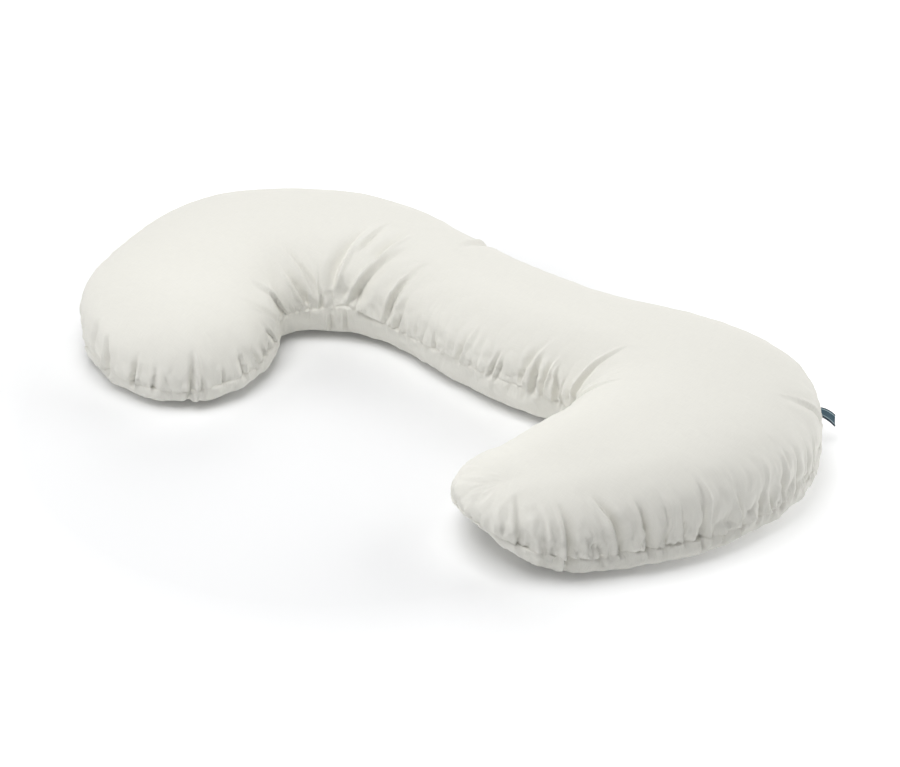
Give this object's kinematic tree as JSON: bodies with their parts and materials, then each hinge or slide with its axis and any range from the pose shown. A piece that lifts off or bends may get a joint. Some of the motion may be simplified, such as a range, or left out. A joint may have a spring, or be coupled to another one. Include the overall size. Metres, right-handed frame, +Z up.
{
  "type": "body pillow",
  "caption": "C-shaped body pillow, lying on its underside: plump cotton form with hooked ends, a low seam gathered all round, and a small folded side tab.",
  "frame": {"origin": "on the floor, under the middle of the pillow's box", "axes": "+X along the back of the C, towards the slimmer hook; +Y towards the back, away from the open side; +Z up, square to the flat underside"},
  "size_m": [1.4751, 0.7509, 0.1965],
  "materials": {
    "cotton": "off-white plain-weave cotton, matt, softly creased where it is gathered into the seam",
    "ribbon": "dark teal woven ribbon with a plain lighter middle and no lettering"
  },
  "bodies": {
    "root": {"pillow": "cotton", "side_tab": "ribbon"}
  },
  "joints": []
}
